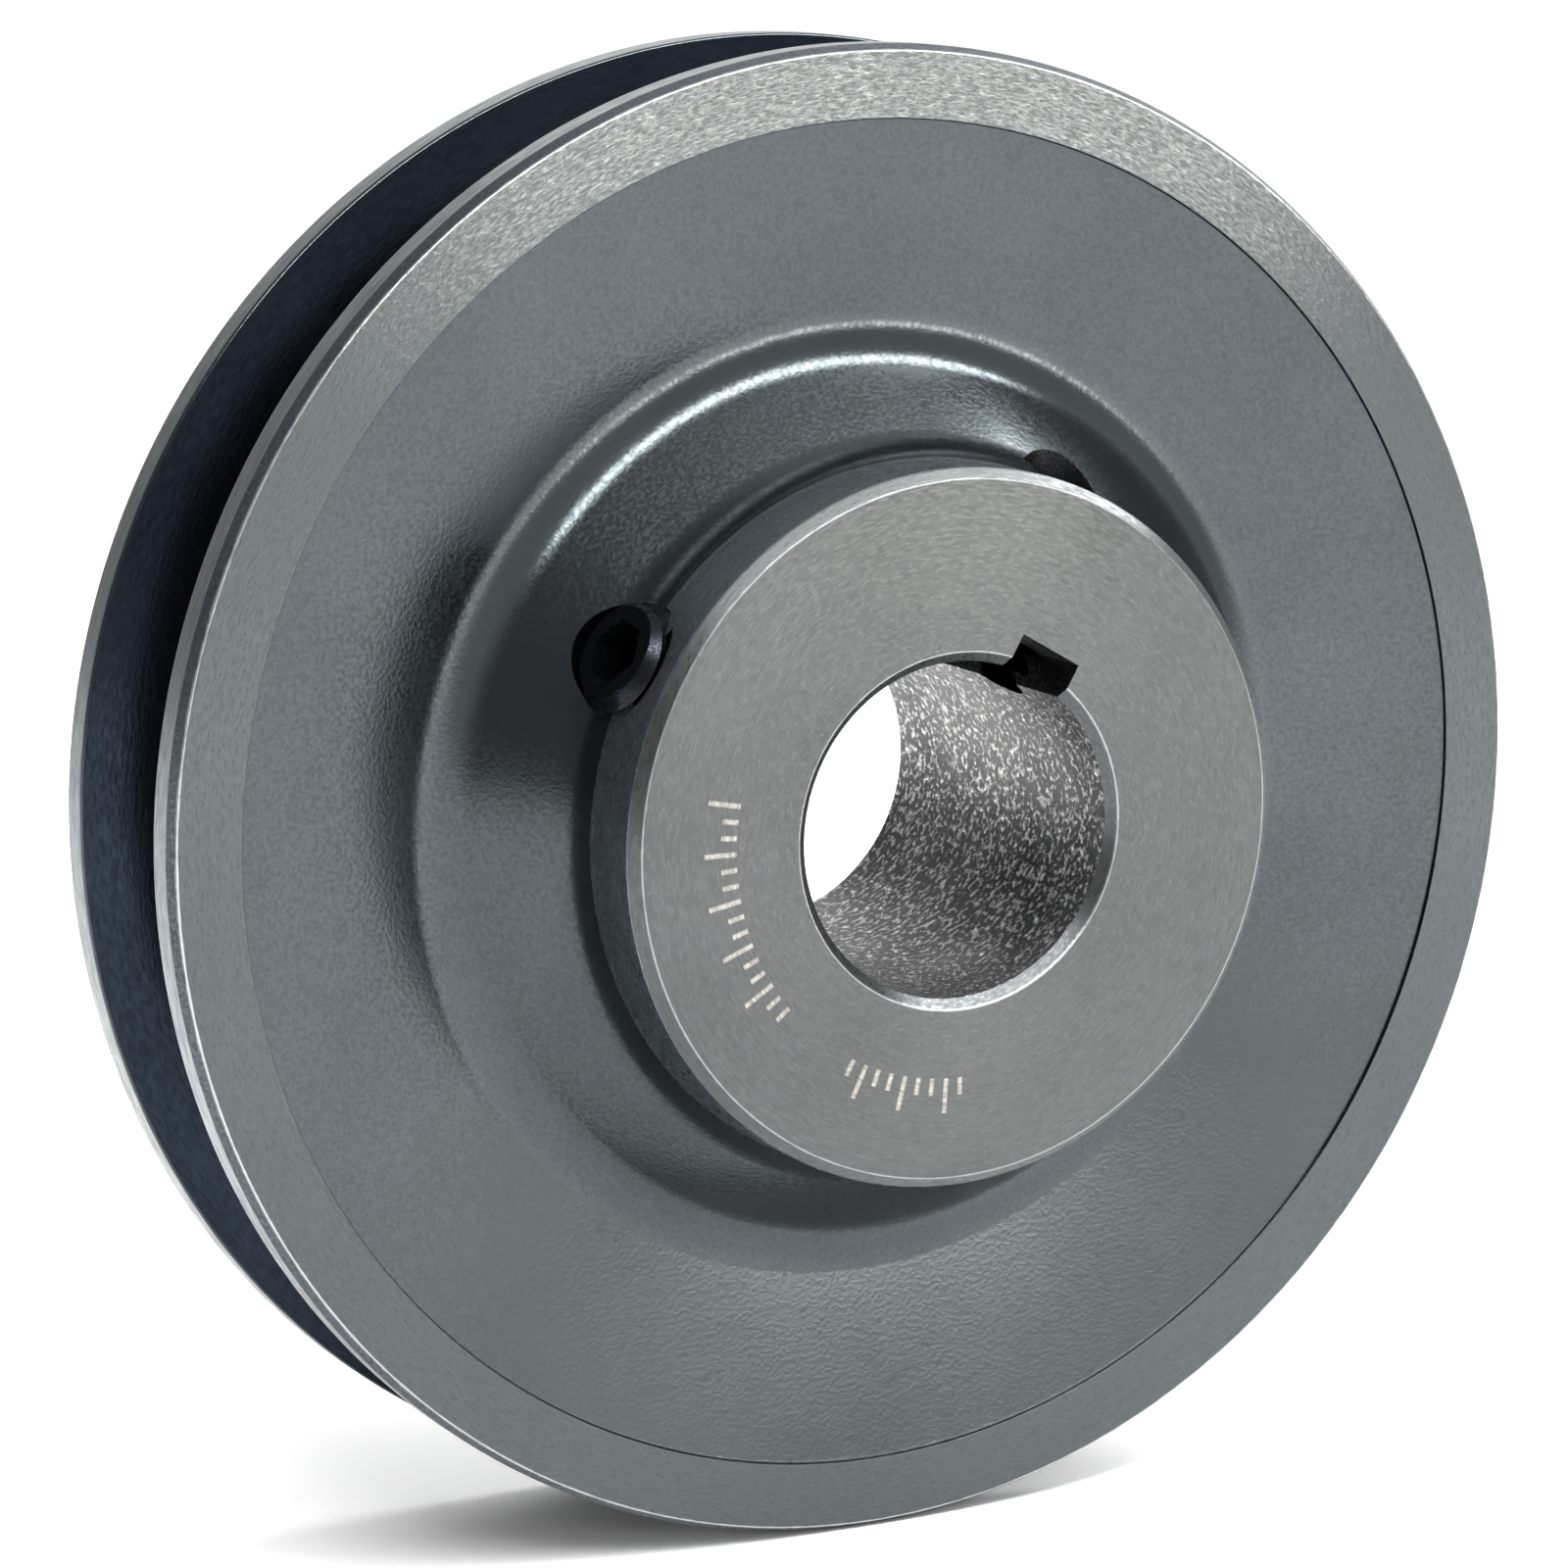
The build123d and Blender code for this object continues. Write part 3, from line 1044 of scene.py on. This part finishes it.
# --- set screws --------------------------------------------------------------------------------
@dataclass
class SocketSetScrew:
    """Cup-point socket set screw, threaded, 5/16-18 by 3/8 in."""

    name: str
    body: str
    place: ScrewPlace
    thread: bpy.types.NodeTree
    length: float = INCH * 3 / 8
    pitch: float = INCH / 18
    crest: float = 3.93 * MM
    root: float = 3.08 * MM
    end_radius: float = 3.15 * MM
    across_flats: float = INCH * 5 / 32
    socket_depth: float = 4.0 * MM
    cup_radius: float = 2.1 * MM
    cup_half_angle: float = radians(59)
    segments: int = 96

    def tree(self, finish: bpy.types.Material) -> bpy.types.NodeTree:
        """Build the tree: threaded rod, less its hexagon socket and its cup, set on its leaning axis."""
        tree, given = new_tree(
            self.name,
            [
                ("Geometry", "NodeSocketGeometry", None),
                ("Length", "NodeSocketFloat", self.length),
                ("Across Flats", "NodeSocketFloat", self.across_flats),
                ("Socket Depth", "NodeSocketFloat", self.socket_depth),
                ("Spin", "NodeSocketFloat", 0.0),
            ],
        )
        sockets = {socket.name: socket for socket in given.outputs}
        rod = add_node(tree, "GeometryNodeGroup", node_tree=self.thread)
        values = {
            "Crest Radius": self.crest,
            "Root Radius": self.root,
            "Pitch": self.pitch,
            "End Radius": self.end_radius,
            "Segments": self.segments,
        }
        for label, value in values.items():
            rod.inputs[label].default_value = value
        tree.links.new(sockets["Length"], rod.inputs["Length"])
        corner = add_node(tree, MATH, {0: sockets["Across Flats"], 1: 1 / sqrt(3)}, operation="MULTIPLY")
        deep = add_node(tree, MATH, {0: sockets["Socket Depth"], 1: 2.0}, operation="MULTIPLY")
        hexagon = add_node(
            tree, "GeometryNodeMeshCylinder", {"Vertices": 6, "Radius": corner, "Depth": deep}, fill_type="NGON"
        )
        top = add_node(tree, "ShaderNodeCombineXYZ", {2: sockets["Length"]})
        hexagon_set = add_node(
            tree, "GeometryNodeTransform", {"Geometry": hexagon.outputs[0], "Translation": top}
        )
        cup_depth = self.cup_radius / tan(self.cup_half_angle)
        cup = add_node(
            tree,
            "GeometryNodeMeshCone",
            {"Vertices": 48, "Radius Top": 0.0, "Radius Bottom": self.cup_radius * 2, "Depth": cup_depth * 2},
            fill_type="NGON",
        )
        below = (0, 0, -cup_depth)
        cup_set = add_node(tree, "GeometryNodeTransform", {"Geometry": cup.outputs[0], "Translation": below})
        boolean = add_node(tree, "GeometryNodeMeshBoolean", {0: rod}, operation="DIFFERENCE", solver="EXACT")
        tree.links.new(hexagon_set.outputs[0], boolean.inputs[1])
        tree.links.new(cup_set.outputs[0], boolean.inputs[1])
        spin = add_node(tree, "ShaderNodeCombineXYZ", {2: sockets["Spin"]})
        spun = add_node(tree, "GeometryNodeTransform", {"Geometry": boolean.outputs[0], "Rotation": spin})
        point = self.place.middle - self.length / 2
        placed = placed_on_screw_axis(tree, spun.outputs[0], self.place, point)
        shaded = shaded_by_angle(tree, placed.outputs[0], CREASE)
        whole = add_node(tree, "GeometryNodeRealizeInstances", {0: shaded})
        close_tree(tree, add_node(tree, "GeometryNodeSetMaterial", {0: whole, "Material": finish}))
        return tree

    def build(self, finish: bpy.types.Material) -> bpy.types.Object:
        """Make the screw, its thread in step with the hole's, on its own body."""
        point = self.place.middle - self.length / 2
        spin = 2 * pi * (point / self.pitch % 1.0)
        source = outline_object(f"{self.name}_source", [(0.0, 0.0), (MM, 0.0)], closed=False)
        screw = evaluated(source, self.tree(finish), {"Spin": spin}, f"{self.name}_threaded")
        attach(screw, self.body)
        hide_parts(self.name)
        return screw


# --- studio ------------------------------------------------------------------------------------
@dataclass(frozen=True)
class Softbox:
    """Rectangular soft light that looks at the sheave from a direction."""

    name: str
    azimuth: float
    elevation: float
    distance: float
    width: float
    height: float
    power: float
    colour: str = "ffffff"

    def build(self) -> None:
        """Make the light."""
        lamp = bpy.data.lights.new(self.name, "AREA")
        lamp.shape = "RECTANGLE"
        lamp.size = self.width
        lamp.size_y = self.height
        lamp.energy = self.power
        lamp.color = linear(self.colour)[:3]
        light = bpy.data.objects.new(self.name, lamp)
        away = direction(self.azimuth, self.elevation)
        light.location = away * self.distance
        light.rotation_euler = away.to_track_quat("Z", "Y").to_euler()
        light.visible_camera = False
        bpy.context.scene.collection.objects.link(light)


def direction(azimuth: float, elevation: float) -> Vector:
    """Unit direction out from the origin; azimuth 0 is -Y and grows towards +X, in degrees."""
    a, e = radians(azimuth), radians(elevation)
    return Vector((sin(a) * cos(e), -cos(a) * cos(e), sin(e)))


@dataclass
class Studio:
    """Pale floor, soft lights, even surround and the camera."""

    floor_level: float
    floor_radius: float = 9.0
    camera_azimuth: float = -27.35
    camera_elevation: float = 10.45
    camera_distance: float = 384.49 * MM
    aim: Vector = field(default_factory=lambda: Vector((-1.64, 0.79, -0.27)) * MM)
    lens: float = 129.81
    surround: float = 1.12
    shade: float = 0.3
    shade_azimuth: float = -105
    shade_elevation: float = 22
    shade_start: float = 0.15
    shade_full: float = 0.8
    lights: tuple[Softbox, ...] = (
        Softbox("front_strip", 27, 3.2, 0.45, 0.16, 0.052, 0.36, "fff6ee"),
        Softbox("key_softbox", 22, 60, 1.0, 1.9, 0.22, 30.0),
        Softbox("side_softbox", 98, 34, 1.0, 0.3, 0.3, 5.0),
        Softbox("floor_wash", 153, 40, 3.0, 2.0, 2.0, 8.0),
    )

    def build(self) -> None:
        """Make floor, surround, lights and camera."""
        self.build_floor()
        self.build_surround()
        for light in self.lights:
            light.build()
        self.build_camera()

    def build_floor(self) -> None:
        """Plain pale floor that the sheave stands on."""
        mesh = bpy.data.meshes.new("floor")
        count = 64
        ring = [(cos(2 * pi * k / count), sin(2 * pi * k / count)) for k in range(count)]
        rim = [(x * self.floor_radius, y * self.floor_radius, self.floor_level) for x, y in ring]
        mesh.from_pydata(rim, [], [range(count)])
        floor = bpy.data.objects.new("floor", mesh)
        bpy.context.scene.collection.objects.link(floor)
        paper = bpy.data.materials.new("matt_white_paper")
        paper.use_nodes = True
        tree = paper.node_tree
        tree.nodes.clear()
        shader = add_node(tree, "ShaderNodeBsdfPrincipled", {"Base Color": linear("ffffff"), "Roughness": 0.9})
        add_node(tree, "ShaderNodeOutputMaterial", {0: shader})
        mesh.materials.append(paper)
        floor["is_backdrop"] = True

    def build_surround(self) -> None:
        """Even pale surround, shaded on one side so that the metal has something dark to mirror."""
        world = bpy.data.worlds.new("studio_surround")
        world.use_nodes = True
        tree = world.node_tree
        tree.nodes.clear()
        looking = add_node(tree, "ShaderNodeTexCoord").outputs["Generated"]
        shaded = direction(self.shade_azimuth, self.shade_elevation)
        facing = add_node(tree, "ShaderNodeVectorMath", {0: looking, 1: shaded}, operation="DOT_PRODUCT")
        strength = add_node(
            tree,
            "ShaderNodeMapRange",
            {
                "Value": facing.outputs["Value"],
                "From Min": self.shade_start,
                "From Max": self.shade_full,
                "To Min": self.surround,
                "To Max": self.shade,
            },
            interpolation_type="SMOOTHSTEP",
        )
        light = add_node(tree, "ShaderNodeBackground", {"Color": linear("ffffff"), "Strength": strength})
        add_node(tree, "ShaderNodeOutputWorld", {0: light})
        bpy.context.scene.world = world

    def build_camera(self) -> None:
        """Camera at the working view of the hub side."""
        lens = bpy.data.cameras.new("camera")
        lens.lens = self.lens
        lens.sensor_width = 36.0
        lens.clip_start = 0.01
        lens.clip_end = 50.0
        camera = bpy.data.objects.new("camera", lens)
        away = direction(self.camera_azimuth, self.camera_elevation)
        camera.location = self.aim + away * self.camera_distance
        camera.rotation_euler = away.to_track_quat("Z", "Y").to_euler()
        bpy.context.scene.collection.objects.link(camera)
        bpy.context.scene.camera = camera


# --- assembly ----------------------------------------------------------------------------------
def iron_finishes(size: SheaveSizes) -> dict[str, bpy.types.Material]:
    """Make every finish of the casting and the screws, by name."""
    # bright lines on the hub, bore and rim edges: partly rubbed metal, partly painted highlight
    hub_edge = EdgeWearAndHighlight(size.hub_radius - size.hub_chamfer, 0.1 * MM, "d8dcdc", 0.3)
    bore_edge = EdgeWearAndHighlight(size.bore_radius + size.bore_chamfer, 0.12 * MM, "c8cccc", 0.4)
    rim_corner = EdgeWearAndHighlight(size.rim_radius - size.rim_chamfer_radial, 0.12 * MM, "e4e8e8", 0.5)
    finishes = {
        # casting under phosphate: an even satin slate grey, slightly mottled
        "as_cast": IronFinish("phosphated_cast_iron", "373c3e", "464c4e", 0.95, 0.2, grain=0.3 * MM,
                              grain_colour=0.4, mottle_colour=0.3, grain_rough=0.06, grain_bump=0.004 * MM),
        # turned hub under phosphate: lighter, with fine marks that run round it
        "hub_side": IronFinish("phosphated_turned_iron", "646b70", "848b90", 0.9, 0.28, grain=0.3 * MM,
                               grain_stretch=5, grain_colour=0.6, mottle_colour=0.2, grain_bump=0.006 * MM),
        # faced hub: pale matt grey with faint rings, bright lines at its edges (wear and painted highlight) and
        # etched ticks
        "hub_face": IronFinish("faced_grey_iron", "404242", "565959", 0.9, 0.34, grain=0.18 * MM,
                               grain_stretch=7, grain_colour=0.25, mottle_colour=0.3, grain_bump=0.002 * MM, ring_colour=0.3,
                               ring_bump=0.002 * MM, anisotropy=0.4, edges=(hub_edge, bore_edge),
                               ticks=(TickRow(-12, 41), TickRow(60, 90))),
        # ground side land: silvery and finely speckled where the light catches it, with a bright corner line of
        # wear and painted highlight
        "rim_side": IronFinish("ground_grey_iron_side", "414546", "505455", 0.95, 0.2, grain=0.17 * MM,
                               grain_stretch=3.0, grain_colour=0.4, mottle_colour=0.15, grain_rough=0.1,
                               grain_bump=0.006 * MM, anisotropy=0.3, edges=(rim_corner,)),
        # broken rim edge: a thin darker band, its corner a bright line of wear and painted highlight
        "rim_edge": IronFinish("phosphated_edge_iron", "30343a", "5a6066", 0.8, 0.35, grain=0.25 * MM,
                               edges=(rim_corner,)),
        # turned rim: mid grey with fine marks that run round it
        "rim_outside": IronFinish("turned_rim_iron", "4e5457", "767c7e", 0.9, 0.3, grain=0.2 * MM,
                                  grain_stretch=8, grain_colour=0.5, mottle_colour=0.3, grain_bump=0.003 * MM),
        # groove: almost black with a blue cast, the phosphate darkened as painted shade of the deep groove
        "groove": IronFinish("phosphated_groove_iron", "12171e", "262d36", 0.95, 0.2, grain=0.22 * MM,
                             grain_stretch=3, grain_colour=0.4, grain_rough=0.05, grain_bump=0.003 * MM),
        # reamed bore: dark with pale flecks of open grain, drawn coarse enough to show
        "bore": IronFinish("reamed_grey_iron", "222326", "ccccca", 0.95, 0.32, grain=0.42 * MM, grain_low=0.5,
                           grain_high=0.72, grain_colour=0.95, mottle_colour=0.2, grain_bump=0.04 * MM),
        # key seat and tapped holes: dark cut metal, darkened to nearly black as painted shade of the deep,
        # unlit holes
        "cut_metal": IronFinish("oily_cut_iron", "060708", "16181a", 0.9, 0.3, grain=0.2 * MM,
                                 grain_colour=0.6),
        # screws in black oxide: black with a soft steel gloss
        "black_oxide": IronFinish("black_oxide_alloy_steel", "0d0f12", "24272b", 0.9, 0.28, grain=0.15 * MM,
                                  grain_colour=0.7, grain_bump=0.002 * MM),
    }
    return {name: finish.build() for name, finish in finishes.items()}


def main() -> None:
    """Build the pieces in order and the studio, whose floor sits at the bottom of the imported model's box."""
    logging.basicConfig(level=logging.INFO, format="%(name)s: %(message)s")
    cad_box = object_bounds()
    size = SheaveSizes.of(frame["record"])
    finishes = iron_finishes(size)
    thread = thread_rod_tree()
    key_place = ScrewPlace.of("key_set_screw", "key_screw_travel")
    shaft_place = ScrewPlace.of("shaft_set_screw", "shaft_screw_travel")
    pieces = [SheaveCasting(size, [key_place, shaft_place], thread).build(finishes)]
    for name, body, place in (
        ("key_set_screw", "key_screw", key_place),
        ("shaft_set_screw", "shaft_screw", shaft_place),
    ):
        pieces.append(SocketSetScrew(name, body, place, thread).build(finishes["black_oxide"]))
    for piece in pieces:
        LOG.info("%s: %d vertices, %d faces", piece.name, len(piece.data.vertices), len(piece.data.polygons))
    Studio(floor_level=cad_box[0].z).build()
    bpy.context.scene.view_settings.view_transform = "Standard"


if __name__ == "__main__":
    main()
